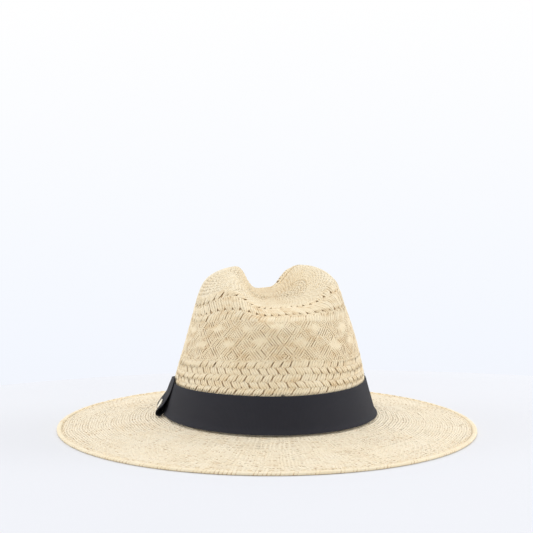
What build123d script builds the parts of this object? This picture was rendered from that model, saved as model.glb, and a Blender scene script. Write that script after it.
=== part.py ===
"""Straw sun hat: open-weave crown with a centre dent, wide flat brim, black ribbon band.

Frame: the origin is on the surface the hat rests on, at the centre of the brim's outline.
+Z is up, -Y is the wearer's front, -X is the wearer's right, where the ribbon keeper sits.
All sizes are in millimetres.
"""

import os
from math import atan, cos, degrees, exp, pi, sin, tanh

from build123d import *

# --- crown ---------------------------------------------------------------------------------
CROWN_SHIFT = 2.6           # the crown stands this far towards +X of the brim's centre
CROWN_HALF_WIDTH = 86.5     # half width of the crown wall, run down to the resting surface
CROWN_EXTRA_LENGTH = 18.0   # how much longer than wide the crown is, each way from its centre
CROWN_TAPER = 0.28          # how much the crown wall leans in, per millimetre of height
STRAW = 1.5                 # thickness of the woven crown wall
HEADLINE = 13.0             # height at which the crown wall meets the brim
RIDGE_RIGHT = 127.9         # nominal height of the ridge on the -X side
RIDGE_LEFT = 130.8          # nominal height of the ridge on the +X side
RIDGE_BLEND = 15.0          # distance over which one ridge height turns into the other
SHOULDER_SIDE = 103.3       # height where the wall starts to turn over, at the sides
SHOULDER_END = 87.4         # the same at the front and the back
WALL_BULGE = 1.8            # how far the +X side bulges, between the ribbon and the shoulder
SHOULDER_ROUNDNESS = 3.6    # exponent of the super-ellipse that rounds the shoulder
TIP_END_HEIGHT = 113.7      # nominal height of the tip at the front and the back
DENT_REACH = 60.0           # distance from the centre at which the end depths hold
DENT_DEPTH_FRONT = 22.4
DENT_DEPTH_BACK = 20.2
DENT_SAG = 3.0              # extra depth half way along the dent
DENT_HALF_WIDTH_FRONT = 38.3
DENT_HALF_WIDTH_BACK = 14.6
DENT_STEEPNESS_RIGHT = 4.8  # exponent of the dent's flank on the -X side; more is steeper
DENT_STEEPNESS_LEFT = 3.6   # the same on the +X side
DENT_OFFSET = 5.6           # the dent lies this far towards +X of the crown's centre
DENT_SKEW = -0.08           # and turns slightly towards -X on its way back
TIP_RISE = 1.45             # the tip rises this much over DENT_REACH towards the back
END_DROOP = 6.0             # how far the tip rounds down near its two ends
DROOP_START = 1.2           # in units of DENT_REACH
END_LIMIT = 1.3             # beyond this many DENT_REACH the tip's shape no longer changes

# --- brim ----------------------------------------------------------------------------------
BRIM_HALF_WIDTH = 166.8     # to the outside of the rolled edge
BRIM_HALF_LENGTH = 184.7
BRIM_THICKNESS = 1.6
BRIM_RIM_TOP = 2.5          # height of the woven sheet's top face at its rim
BRIM_CURVE = 1.2            # 1 is a straight slope; more makes it flatten towards the rim
ROLL_WIDTH = 4.2            # section of the rolled edge
ROLL_HEIGHT = 3.4
ROLL_FOOT = 1.6             # width of the flat strip that the hat rests on
WIRE_DIAMETER = 0.9
WIRE_END_GAP = 0.5          # between the two ends of the wire, inside the ferrule
FERRULE_LENGTH = 14.0
FERRULE_BORE = 1.0
FERRULE_DIAMETER = 1.6

# --- cloth, badge and thread ---------------------------------------------------------------
GAP = 0.15                  # clearance between layers of cloth and straw
RIBBON_BOTTOM = 13.4
RIBBON_TOP = 41.6
RIBBON_THICKNESS = 0.8
RIBBON_FLARE = 1.4          # the lower selvedge rides out over the turn of the brim
RIBBON_FLARE_HEIGHT = 4.0
SWEATBAND_BOTTOM = 11.6
SWEATBAND_TOP = 38.0
SWEATBAND_THICKNESS = 0.8
KEEPER_WIDTH = 25.0         # the loop of ribbon that wraps over the band
KEEPER_THICKNESS = 0.8
KEEPER_CENTRE_Y = 4.0
KEEPER_TURN = 2.0           # degrees: its rear edge stands further off the crown
TACK_WIDTH = 2.4            # a bar of thread over the band's top edge
BADGE_DIAMETER = 8.0
BADGE_THICKNESS = 0.9
BADGE_RIM = 0.7             # width of the raised rim round its blank face
BADGE_RECESS = 0.2
BADGE_PLACE = 0.72          # share of the keeper's length, from its top, to the badge
BADGE_Y = -2.0              # along the keeper's width
PRONG_SPACING = 4.6
PRONG_WIDTH = 0.8
PRONG_THICKNESS = 0.3
PRONG_FOLD = 2.0            # length of each prong's bent-over end
LABEL_WIDTH = 22.0
LABEL_LENGTH = 30.0
LABEL_THICKNESS = 0.3
LABEL_STAND_OFF = 2.6       # a flat label inside a round band touches it only at its edges
LABEL_LIFT = 4.0            # how far its middle is above the sweatband's
THREAD = 0.5
EDGE_STITCHES = 132
EDGE_STITCH_LENGTH = 3.4
EDGE_STITCH_INSET = 1.2     # from the sheet's rim
HEADLINE_STITCHES = 72
HEADLINE_STITCH_LENGTH = 3.0

RING_POINTS = 64            # points round one ring of the crown
KEEPER_STEPS = 24           # points along each face of the keeper's section
KEEPER_SECTION = [          # (distance of the cloth's middle from the crown wall, height)
    (1.65, 42.2), (1.65, 38.0), (1.8, 33.8), (2.3, 29.8), (3.6, 25.5),
    (5.2, 21.5), (6.5, 17.8), (6.9, 15.6), (5.7, 14.2), (3.7, 14.5),
]
NORMAL_STEP = 0.004
OUTPUT = "parts"


# --- shapes shared by several pieces -------------------------------------------------------
def wall_half_axes(z, inset=0.0):
    """Half width and half length of the crown's outer wall at height z."""
    half_width = CROWN_HALF_WIDTH - CROWN_TAPER * z - inset
    return half_width, half_width + CROWN_EXTRA_LENGTH


def wall_ring(z, inset=0.0):
    """A level ellipse round the crown at height z, inset from its outer face."""
    half_width, half_length = wall_half_axes(z, inset)
    return level_ring(half_width, half_length, z, CROWN_SHIFT)


def level_ring(half_width, half_length, z, centre_x=0.0):
    plane = Plane(origin=(centre_x, 0, z))
    return Wire([Edge.make_ellipse(half_width, half_length, plane)])


def closed_band(rings):
    """The ring-shaped solid whose surface passes through a closed series of rings."""
    faces = []
    for first, second in zip(rings, rings[1:] + rings[:1]):
        heights = [wire.center().Z for wire in (first, second)]
        if abs(heights[0] - heights[1]) < 1e-6:
            outside, inside = sorted((first, second), key=lambda wire: -wire.length)
            faces.append(Face(outside, [inside]))
        else:
            faces += Shell.make_loft([first, second], ruled=True).faces()
    return Solid(Shell(Face.sew_faces(faces)[0]))


def rim_ring(offset, z):
    """A level ellipse outside the woven sheet's rim."""
    half_width = BRIM_HALF_WIDTH - ROLL_WIDTH + offset
    half_length = BRIM_HALF_LENGTH - ROLL_WIDTH + offset
    return level_ring(half_width, half_length, z)


def along_rim(angle, offset, z):
    """A place beside the rim: +X points along the rim and +Z points up."""
    half_width = BRIM_HALF_WIDTH - ROLL_WIDTH + offset
    half_length = BRIM_HALF_LENGTH - ROLL_WIDTH + offset
    place = Vector(half_width * cos(angle), half_length * sin(angle), z)
    tangent = Vector(-half_width * sin(angle), half_length * cos(angle), 0)
    return Plane(origin=place, x_dir=tangent, z_dir=(0, 0, 1))


# --- crown ---------------------------------------------------------------------------------
def shoulder_height(angle):
    return SHOULDER_SIDE * cos(angle) ** 2 + SHOULDER_END * sin(angle) ** 2


def tip_height(x, y):
    """Height of the dented tip above a place in plan, before the shoulder rounds it off."""
    along = max(-END_LIMIT, min(END_LIMIT, y / DENT_REACH))
    share = max(0.0, min(1.0, (1 + along) / 2))
    middle = (RIDGE_LEFT + RIDGE_RIGHT) / 2
    ridge = middle + (RIDGE_LEFT - RIDGE_RIGHT) / 2 * tanh(x / RIDGE_BLEND)
    half_width = DENT_HALF_WIDTH_FRONT * (1 - share) + DENT_HALF_WIDTH_BACK * share
    aside = x - DENT_OFFSET - DENT_SKEW * y
    across = abs(aside) / half_width
    steepness = DENT_STEEPNESS_RIGHT if aside < 0 else DENT_STEEPNESS_LEFT
    depth = DENT_DEPTH_FRONT * (1 - along) / 2 + DENT_DEPTH_BACK * (1 + along) / 2
    depth += DENT_SAG * (1 - along**2)
    droop = END_DROOP * (abs(along) / DROOP_START) ** 4
    return ridge + TIP_RISE * y / DENT_REACH - depth * exp(-(across**steepness)) - droop


def crown_point(angle, reach):
    """A point of the outer face: reach 0 to 1 climbs the wall, 1 to 2 crosses the tip."""
    shoulder = shoulder_height(angle)
    if reach <= 1:
        z = HEADLINE + (shoulder - HEADLINE) * reach
        half_width, half_length = wall_half_axes(z)
        above_ribbon = max(0.0, (z - RIBBON_TOP) / (shoulder - RIBBON_TOP))
        bulge = WALL_BULGE * max(0.0, cos(angle)) * sin(pi * above_ribbon)
        return Vector(half_width * cos(angle) + bulge, half_length * sin(angle), z)
    turn = (reach - 1) * pi / 2
    radius = cos(turn) ** (2 / SHOULDER_ROUNDNESS)
    rise = sin(turn) ** (2 / SHOULDER_ROUNDNESS)
    ridge = RIDGE_LEFT if cos(angle) > 0 else RIDGE_RIGHT
    nominal = ridge * cos(angle) ** 2 + TIP_END_HEIGHT * sin(angle) ** 2
    half_width, half_length = wall_half_axes(shoulder + (nominal - shoulder) * rise)
    x = half_width * radius * cos(angle)
    y = half_length * radius * sin(angle)
    return Vector(x, y, shoulder + (tip_height(x, y) - shoulder) * rise)


def inset_point(angle, reach, inset):
    """The same point, moved straight into the hat by inset."""
    here = crown_point(angle, reach)
    around = crown_point(angle + NORMAL_STEP, reach) - crown_point(angle - NORMAL_STEP, reach)
    below = crown_point(angle, max(0.0, reach - NORMAL_STEP))
    normal = around.cross(crown_point(angle, reach + NORMAL_STEP) - below).normalized()
    moved = here - normal * inset
    if reach == 0:
        return Vector(moved.X, moved.Y, here.Z)
    return moved


def crown_face_set(inset):
    """The lowest ring and all faces of the crown's outer face, or of its inner one."""
    reaches = [0, 0.32, 0.5, 0.66, 0.82, 1, 1.12, 1.24, 1.36, 1.48, 1.6, 1.7, 1.78, 1.86, 1.93, 1.97]
    angles = [2 * pi * i / RING_POINTS for i in range(RING_POINTS)]
    rings = []
    for reach in reaches:
        points = [inset_point(angle, reach, inset) for angle in angles]
        rings.append(Wire([Edge.make_spline(points, periodic=True)]))
    top = Vertex(0, 0, tip_height(0, 0) - inset)
    return rings[0], Shell.make_loft([*rings, top], ruled=True).faces()


def crown():
    outer_ring, outside = crown_face_set(0.0)
    inner_ring, inside = crown_face_set(STRAW)
    hem = Face(outer_ring, [inner_ring])
    shell = Face.sew_faces([*outside, *inside, hem])[0]
    return Pos(CROWN_SHIFT, 0, GAP) * Solid(Shell(shell))


# --- brim and its edge ---------------------------------------------------------------------
def brim_ring(share, drop):
    """A ring of the brim: share 0 is the crown's inner face, 1 is the rim."""
    inner_width, inner_length = wall_half_axes(HEADLINE, STRAW)
    half_width = inner_width + (BRIM_HALF_WIDTH - ROLL_WIDTH - inner_width) * share
    half_length = inner_length + (BRIM_HALF_LENGTH - ROLL_WIDTH - inner_length) * share
    z = BRIM_RIM_TOP + (HEADLINE - BRIM_RIM_TOP) * (1 - share) ** BRIM_CURVE - drop
    return level_ring(half_width, half_length, z, CROWN_SHIFT * (1 - share))


def brim():
    shares = [0, 0.1, 0.3, 0.6, 1]
    top = [brim_ring(share, 0.0) for share in shares]
    underside = [brim_ring(share, BRIM_THICKNESS) for share in reversed(shares)]
    return closed_band([*top, *underside])


def edge_roll():
    """The straw edge, folded round the wire: a C section open towards the rim."""
    middle = ROLL_WIDTH / 2
    foot = ROLL_FOOT / 2
    bore = FERRULE_DIAMETER / 2 + GAP
    centre = ROLL_HEIGHT / 2
    wall = [
        (GAP, centre + 0.5), (GAP, ROLL_HEIGHT - 0.8), (middle - foot, ROLL_HEIGHT),
        (middle + foot, ROLL_HEIGHT), (ROLL_WIDTH - 0.3, ROLL_HEIGHT - 0.8),
        (ROLL_WIDTH, centre), (ROLL_WIDTH - 0.3, 0.8), (middle + foot, 0),
        (middle - foot, 0), (GAP, 0.8), (GAP, centre - 0.5),
    ]
    turns = [pi * (1 + share) for share in (0.2, 0.5, 0.8, 1.0, 1.2, 1.5, 1.8)]
    channel = [(middle + bore * cos(turn), centre + bore * sin(turn)) for turn in turns]
    return closed_band([rim_ring(offset, z) for offset, z in [*wall, *channel]])


def rim_sweep(section_radius, angle_from, angle_to):
    """A round rod that follows the middle of the rolled edge."""
    half_width = BRIM_HALF_WIDTH - ROLL_WIDTH / 2
    half_length = BRIM_HALF_LENGTH - ROLL_WIDTH / 2
    plane = Plane(origin=(0, 0, ROLL_HEIGHT / 2))
    path = Edge.make_ellipse(half_width, half_length, plane, angle_from, angle_to)
    section = Plane(origin=path @ 0, z_dir=path % 0) * Circle(section_radius)
    return sweep(section, path)


def brim_wire():
    """Spring wire in the edge. Its ends meet at the back, inside the ferrule."""
    gap_angle = degrees(WIRE_END_GAP / BRIM_HALF_WIDTH) / 2
    return rim_sweep(WIRE_DIAMETER / 2, 90 + gap_angle, 450 - gap_angle)


def wire_ferrule():
    half_angle = degrees(FERRULE_LENGTH / BRIM_HALF_WIDTH) / 2
    tube = rim_sweep(FERRULE_DIAMETER / 2, 90 - half_angle, 90 + half_angle)
    return tube - rim_sweep(FERRULE_BORE / 2, 90 - half_angle, 90 + half_angle)


def edge_stitches():
    """Long straight stitches through the rim of the sheet, just inside the roll."""
    stitch = Box(EDGE_STITCH_LENGTH, THREAD, THREAD)
    height = BRIM_RIM_TOP + THREAD + GAP
    angles = [2 * pi * i / EDGE_STITCHES for i in range(EDGE_STITCHES)]
    places = [along_rim(angle, -EDGE_STITCH_INSET, height) for angle in angles]
    return Compound([place * stitch for place in places])


# --- inside the crown ----------------------------------------------------------------------
def sweatband():
    inset = STRAW + GAP
    lower = wall_half_axes(HEADLINE, inset)
    rings = [
        level_ring(*lower, SWEATBAND_BOTTOM, CROWN_SHIFT),
        wall_ring(HEADLINE, inset),
        wall_ring(SWEATBAND_TOP, inset),
        wall_ring(SWEATBAND_TOP, inset + SWEATBAND_THICKNESS),
        wall_ring(HEADLINE, inset + SWEATBAND_THICKNESS),
        level_ring(*[a - SWEATBAND_THICKNESS for a in lower], SWEATBAND_BOTTOM, CROWN_SHIFT),
    ]
    return closed_band(rings)


def headline_stitches():
    """The line of thread that holds crown, brim and sweatband together, seen inside."""
    stitch = Box(HEADLINE_STITCH_LENGTH, THREAD, THREAD)
    z = HEADLINE + 1.0
    half_width, half_length = wall_half_axes(z, STRAW + SWEATBAND_THICKNESS + 3 * GAP + THREAD)
    stitches = []
    for i in range(HEADLINE_STITCHES):
        angle = 2 * pi * i / HEADLINE_STITCHES
        place = (CROWN_SHIFT + half_width * cos(angle), half_length * sin(angle), z)
        tangent = (-half_width * sin(angle), half_length * cos(angle), 0)
        stitches.append(Plane(origin=place, x_dir=tangent, z_dir=(0, 0, 1)) * stitch)
    return Compound(stitches)


def care_label():
    """A blank folded label that hangs inside the sweatband at the back."""
    middle = (SWEATBAND_BOTTOM + SWEATBAND_TOP) / 2
    inset = STRAW + SWEATBAND_THICKNESS + 3 * GAP + THREAD + LABEL_STAND_OFF
    half_length = wall_half_axes(middle + LABEL_LIFT, inset)[1]
    lean = degrees(atan(CROWN_TAPER))
    leaf = Box(LABEL_WIDTH, LABEL_THICKNESS, LABEL_LENGTH)
    fold = Box(LABEL_WIDTH, 3 * LABEL_THICKNESS, LABEL_THICKNESS)
    folded = Pos(0, LABEL_THICKNESS, 0) * leaf + Pos(0, -LABEL_THICKNESS, 0) * leaf
    folded += Pos(0, 0, -(LABEL_LENGTH + LABEL_THICKNESS) / 2) * fold
    return Pos(CROWN_SHIFT, half_length, middle + LABEL_LIFT) * Rot(lean, 0, 0) * folded


# --- ribbon and badge ----------------------------------------------------------------------
def ribbon_band():
    inner = [
        wall_ring(RIBBON_BOTTOM, -GAP - RIBBON_FLARE),
        wall_ring(RIBBON_BOTTOM + RIBBON_FLARE_HEIGHT, -GAP),
        wall_ring(RIBBON_TOP, -GAP),
    ]
    outer = [
        wall_ring(RIBBON_TOP, -GAP - RIBBON_THICKNESS),
        wall_ring(RIBBON_BOTTOM + RIBBON_FLARE_HEIGHT, -GAP - RIBBON_THICKNESS),
        wall_ring(RIBBON_BOTTOM, -GAP - RIBBON_FLARE - RIBBON_THICKNESS),
    ]
    return closed_band([*inner, *outer])


def ribbon_tacks():
    """Bars of thread over the band's top edge at the front, the back and the +X side."""
    reach = RIBBON_THICKNESS + GAP
    half_width, half_length = wall_half_axes(RIBBON_TOP, -reach / 2 - GAP)
    z = RIBBON_TOP + GAP + THREAD / 2
    across = Box(TACK_WIDTH, reach, THREAD)
    along = Box(reach, TACK_WIDTH, THREAD)
    return Compound([
        Pos(CROWN_SHIFT, -half_length, z) * across,
        Pos(CROWN_SHIFT, half_length, z) * across,
        Pos(CROWN_SHIFT + half_width, 0, z) * along,
    ])


def keeper_place():
    """Where the keeper stands: its width runs along Y and it bulges towards -X."""
    wall = wall_half_axes(HEADLINE)[0]
    turn = Rot(0, 0, KEEPER_TURN)
    return Pos(CROWN_SHIFT - wall, KEEPER_CENTRE_Y, 0) * turn * Pos(wall, 0, 0)


def keeper_line(outwards=0.0):
    """The keeper's section, from its top edge, over the bulge, to its foot."""
    points = [Vector(-wall_half_axes(z)[0] - off, 0, z) for off, z in KEEPER_SECTION]
    line = Edge.make_spline(points)
    if outwards == 0:
        return line
    steps = [i / KEEPER_STEPS for i in range(KEEPER_STEPS + 1)]
    return Edge.make_spline([line @ t + keeper_normal(line, t) * outwards for t in steps])


def keeper_normal(line, share):
    return (line % share).cross(Vector(0, -1, 0)).normalized()


def badge_plane():
    """On the keeper's outer face, with +Z out of the hat and +X along the keeper's width."""
    line = keeper_line()
    out = keeper_normal(line, BADGE_PLACE)
    place = line @ BADGE_PLACE + Vector(0, BADGE_Y, 0) + out * (KEEPER_THICKNESS / 2 + GAP)
    return Plane(origin=place, x_dir=(0, 1, 0), z_dir=out)


def prong_slots():
    slot = Box(PRONG_THICKNESS + 2 * GAP, PRONG_WIDTH + 2 * GAP, 4 * KEEPER_THICKNESS)
    return [badge_plane() * Pos(side * PRONG_SPACING / 2, 0, 0) * slot for side in (-1, 1)]


def ribbon_keeper():
    outside = keeper_line(KEEPER_THICKNESS / 2)
    inside = keeper_line(-KEEPER_THICKNESS / 2)
    ends = [Edge.make_line(outside @ t, inside @ t) for t in (0, 1)]
    section = Face(Wire([outside, ends[1], inside, ends[0]]))
    strip = extrude(section, KEEPER_WIDTH / 2, dir=(0, 1, 0), both=True)
    for slot in prong_slots():
        strip -= slot
    return keeper_place() * strip


def badge_plate():
    """A blank round plate with a raised rim. Two prongs go through the keeper and fold."""
    disc = Pos(0, 0, BADGE_THICKNESS / 2) * Cylinder(BADGE_DIAMETER / 2, BADGE_THICKNESS)
    disc = fillet(disc.edges().group_by(Axis.Z)[-1], BADGE_THICKNESS / 4)
    face = Cylinder(BADGE_DIAMETER / 2 - BADGE_RIM, BADGE_RECESS)
    plate = disc - Pos(0, 0, BADGE_THICKNESS - BADGE_RECESS / 2) * face
    depth = KEEPER_THICKNESS + 2 * GAP + PRONG_THICKNESS
    for side in (-1, 1):
        leg = Box(PRONG_THICKNESS, PRONG_WIDTH, depth)
        plate += Pos(side * PRONG_SPACING / 2, 0, -depth / 2) * leg
        fold = Box(PRONG_FOLD, PRONG_WIDTH, PRONG_THICKNESS)
        fold_x = side * (PRONG_SPACING - PRONG_FOLD + PRONG_THICKNESS) / 2
        plate += Pos(fold_x, 0, -depth + PRONG_THICKNESS / 2) * fold
    return keeper_place() * (badge_plane() * plate)


# --- output --------------------------------------------------------------------------------
SUB_PARTS = {
    "crown": crown,
    "brim": brim,
    "brim_edge_roll": edge_roll,
    "brim_wire": brim_wire,
    "brim_wire_ferrule": wire_ferrule,
    "brim_edge_stitches": edge_stitches,
    "sweatband": sweatband,
    "headline_stitches": headline_stitches,
    "care_label": care_label,
    "ribbon_band": ribbon_band,
    "ribbon_tacks": ribbon_tacks,
    "ribbon_keeper": ribbon_keeper,
    "badge_plate": badge_plate,
}

os.makedirs(OUTPUT, exist_ok=True)
for name, make in SUB_PARTS.items():
    export_step(make(), f"{OUTPUT}/{name}.step")
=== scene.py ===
"""A wide-brimmed straw sun hat: woven crown and brim, rolled edge, ribbon band with a keeper and badge.

Lengths in this script are millimetres until a mesh is made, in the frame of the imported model.
Weaves are real strands: each is a strip laid on the surface, lifted over and under its neighbours.
"""
import math

import bpy
import numpy as np
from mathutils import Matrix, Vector


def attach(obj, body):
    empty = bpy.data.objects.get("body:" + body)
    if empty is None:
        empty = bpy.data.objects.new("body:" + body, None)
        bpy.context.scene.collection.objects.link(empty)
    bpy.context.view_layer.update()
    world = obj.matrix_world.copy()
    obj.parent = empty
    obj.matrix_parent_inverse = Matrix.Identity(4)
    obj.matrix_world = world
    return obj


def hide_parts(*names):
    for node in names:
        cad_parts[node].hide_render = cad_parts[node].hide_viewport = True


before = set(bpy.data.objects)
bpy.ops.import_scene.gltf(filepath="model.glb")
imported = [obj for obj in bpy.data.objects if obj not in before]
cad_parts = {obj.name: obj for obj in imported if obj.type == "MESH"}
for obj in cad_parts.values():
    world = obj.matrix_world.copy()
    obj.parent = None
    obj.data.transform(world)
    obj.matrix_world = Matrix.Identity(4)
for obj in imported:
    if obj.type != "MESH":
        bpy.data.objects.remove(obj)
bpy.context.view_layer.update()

MM = 0.001
TAU = 2 * math.pi
rng = np.random.default_rng(7)


def unit(vectors):
    return vectors / (np.linalg.norm(vectors, axis=-1, keepdims=True) + 1e-12)


def stacked(*arrays):
    return np.stack(np.broadcast_arrays(*arrays), -1)


def lengths_along(points):
    """Each point's distance along its own line, from the line's first point."""
    gaps = np.linalg.norm(np.diff(points, axis=-2), axis=-1)
    return np.concatenate([np.zeros(gaps.shape[:-1] + (1,)), np.cumsum(gaps, axis=-1)], -1)


def angles(count):
    """Even angles round the hat, as a row."""
    return np.arange(count)[None, :] * TAU / count


def smooth(x, lo, hi):
    """0 below lo, 1 above hi, and an even slope between them."""
    k = np.clip((x - lo) / (hi - lo), 0, 1)
    return k * k * (3 - 2 * k)


# ---- crown surface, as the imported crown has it
SHIFT = 2.6  # the crown stands this far to the right of the brim's middle
HEADLINE = 13.0  # height where the crown meets the brim
RIBBON_TOP = 41.6
WALL_HALF, WALL_TAPER = 86.5, 0.28  # half width at height 0, and how fast the wall leans in
WALL_LONGER = 18.0  # the wall's half length is this much more than its half width
SHOULDER_SIDE, SHOULDER_END = 103.3, 87.4  # height where the wall turns into the tip
TIP_RIGHT, TIP_LEFT, TIP_END = 130.8, 127.9, 113.7
TIP_POWER = 3.6  # how square that turn is
BULGE = 1.8  # the right side's wall swells by this much
RIDGE_HEIGHT, RIDGE_STEP, RIDGE_WIDTH = 129.35, 1.45, 15.0  # the right hill is higher than the left one
RIDGE_TILT, TIP_REACH = 1.45, 60.0  # rise from the middle to the back, and how far back that is
TIP_DROOP, DROOP_FROM, DROOP_POWER = 6.0, 1.2, 4
DENT_MIDDLE, DENT_SKEW = 5.6, 0.08
DENT_HALF_FRONT, DENT_HALF_BACK = 38.3, 14.6
DENT_DEEP_FRONT, DENT_DEEP_BACK, DENT_SAG = 22.4, 20.2, 3.0
DENT_STEEP_LEFT, DENT_STEEP_RIGHT = 4.8, 3.6


def wall_axes(z):
    half = WALL_HALF - WALL_TAPER * z
    return half, half + WALL_LONGER


def tip_height(x, y):
    """Height of the pinched tip: a ridge with a dent along it, wide in front and narrow at the back."""
    along = np.clip(y / TIP_REACH, -1.3, 1.3)
    share = np.clip((1 + along) / 2, 0, 1)
    ridge = RIDGE_HEIGHT + RIDGE_STEP * np.tanh(x / RIDGE_WIDTH)
    half_width = DENT_HALF_FRONT * (1 - share) + DENT_HALF_BACK * share
    across = np.abs(x - DENT_MIDDLE + DENT_SKEW * y) / half_width
    depth = DENT_DEEP_FRONT * (1 - along) / 2 + DENT_DEEP_BACK * (1 + along) / 2 + DENT_SAG * (1 - along**2)
    droop = TIP_DROOP * (np.abs(along) / DROOP_FROM) ** DROOP_POWER
    steep = np.where(x < DENT_MIDDLE - DENT_SKEW * y, DENT_STEEP_LEFT, DENT_STEEP_RIGHT)
    return ridge + RIDGE_TILT * y / TIP_REACH - depth * np.exp(-(across**steep)) - droop


def crown_shell(t, reach):
    """The crown's outer face. reach is 0 at the headline, 1 at the shoulder and 2 at the tip's middle."""
    cc = np.cos(t) ** 2
    shoulder = SHOULDER_SIDE * cc + SHOULDER_END * (1 - cc)
    turn = np.clip(reach - 1, 0, 1) * math.pi / 2
    radius = np.cos(turn) ** (2 / TIP_POWER)
    rise = np.sin(turn) ** (2 / TIP_POWER)
    nominal = np.where(np.cos(t) > 0, TIP_RIGHT, TIP_LEFT) * cc + TIP_END * (1 - cc)
    z_wall = HEADLINE + (shoulder - HEADLINE) * np.clip(reach, 0, 1)
    z_even = np.where(reach <= 1, z_wall, shoulder + (nominal - shoulder) * rise)
    a, b = wall_axes(z_even)
    above = np.clip((z_wall - RIBBON_TOP) / (shoulder - RIBBON_TOP), 0, 1)
    bulge = BULGE * np.maximum(0, np.cos(t)) * np.sin(math.pi * above)
    x = a * radius * np.cos(t) + bulge
    y = b * radius * np.sin(t)
    z = np.where(reach <= 1, z_wall, shoulder + (tip_height(x, y) - shoulder) * rise)
    return np.stack([x, y, z], -1)


TABLE_T, TABLE_Q = 720, 361  # angles, and places up each meridian
WALL_STEPS, TIP_STEPS = 500, 1500


def crown_tables():
    """Points and normals of the crown at even angles and even shares of each meridian, headline to tip."""
    t = angles(TABLE_T)[0]
    low = np.linspace(0, 1, WALL_STEPS, endpoint=False)
    high = 1 + (1 - np.cos(np.linspace(0, 1, TIP_STEPS) * math.pi)) / 2
    dense = crown_shell(t[:, None], np.concatenate([low, high])[None, :])
    run = lengths_along(dense)
    q = np.linspace(0, 1, TABLE_Q)
    points = np.empty((TABLE_T, TABLE_Q, 3))
    for i in range(TABLE_T):
        for k in range(3):
            points[i, :, k] = np.interp(q * run[i, -1], run[i], dense[i, :, k])
    points[..., 0] += SHIFT
    around = np.roll(points, -1, 0) - np.roll(points, 1, 0)
    up = np.gradient(points, axis=1)
    normals = unit(np.cross(around, up))
    # the innermost places crowd together at the tip, so they take the normal of one further out
    normals[:, -3:] = normals[:, -8:-7]
    return points, normals


CROWN_P, CROWN_N = crown_tables()


def bilinear(table, t, q):
    """The table's value at any angle t and share q of the meridian."""
    ft = np.mod(t, TAU) / TAU * TABLE_T
    fq = np.clip(q, 0, 1) * (TABLE_Q - 1)
    i0 = np.floor(ft).astype(int)
    j0 = np.minimum(np.floor(fq).astype(int), TABLE_Q - 2)
    u = (ft - i0)[..., None]
    v = (fq - j0)[..., None]
    i0 %= TABLE_T
    i1 = (i0 + 1) % TABLE_T
    low = table[i0, j0] * (1 - u) + table[i1, j0] * u
    high = table[i0, j0 + 1] * (1 - u) + table[i1, j0 + 1] * u
    return low * (1 - v) + high * v


# How the woven rows run round the crown: a row at share v in front lies lower at the sides.
ROW_V = [0, 0.15, 0.2275, 0.2867, 0.3458, 0.57, 0.6215, 0.722, 0.86, 1.0]
ROW_SIDE = [0, 0.018, 0.037, 0.053, 0.0630, 0.082, 0.1050, 0.145, 0.085, 0]
ROW_TURN = [0, 0.006, 0.012, 0.012, 0.0100, 0.026, 0.0300, 0.048, 0.028, 0]


def crown_at(t, v):
    """Point and normal of the straw's middle at angle t on the woven row v."""
    side = np.interp(v, ROW_V, ROW_SIDE)
    tilt = np.interp(v, ROW_V, ROW_TURN)
    q = v - side * np.cos(t) ** 2 + tilt * np.cos(t) * np.abs(np.cos(t))
    normal = unit(bilinear(CROWN_N, t, q))
    return bilinear(CROWN_P, t, q) - STRAW_MIDDLE * normal, normal


STRAW_MIDDLE = 0.6  # depth of the weave's middle under the crown's outer face

# ---- the brim's surface
BRIM_IN, BRIM_OUT = (81.36, 99.36), (162.6, 180.5)  # half width and half length of its inner and outer edge
RIM_TOP, BRIM_CURVE = 2.5, 1.2
BRIM_MIDDLE = 0.8  # depth of the weave's middle under the brim's upper face


def brim_height(s):
    return RIM_TOP + (HEADLINE - RIM_TOP) * np.clip(1 - s, 0, 1) ** BRIM_CURVE


def brim_at(t, s):
    """Point and normal of the brim's middle at angle t and share s from the crown to the rim."""

    def place(t, s):
        a = BRIM_IN[0] + (BRIM_OUT[0] - BRIM_IN[0]) * s
        b = BRIM_IN[1] + (BRIM_OUT[1] - BRIM_IN[1]) * s
        return np.stack([a * np.cos(t) + SHIFT * (1 - s), b * np.sin(t), brim_height(s)], -1)

    step = 0.004
    around = place(t + step, s) - place(t - step, s)
    out = place(t, s + step) - place(t, s - step)
    normal = unit(np.cross(out, around))
    return place(t, s) - BRIM_MIDDLE * normal, normal


# ---- strands and meshes
# a strand's section, as shares of its half width and half thickness
LENS4 = np.array([(-1, 0), (0, 1), (1, 0), (0, -1)], float)
LENS6 = np.array([(-1, 0), (-0.5, 0.87), (0.5, 0.87), (1, 0), (0.5, -0.87), (-0.5, -0.87)], float)
GRAIN_STEP = 97.0  # keeps one strand's fibre pattern far from the next one's


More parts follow.
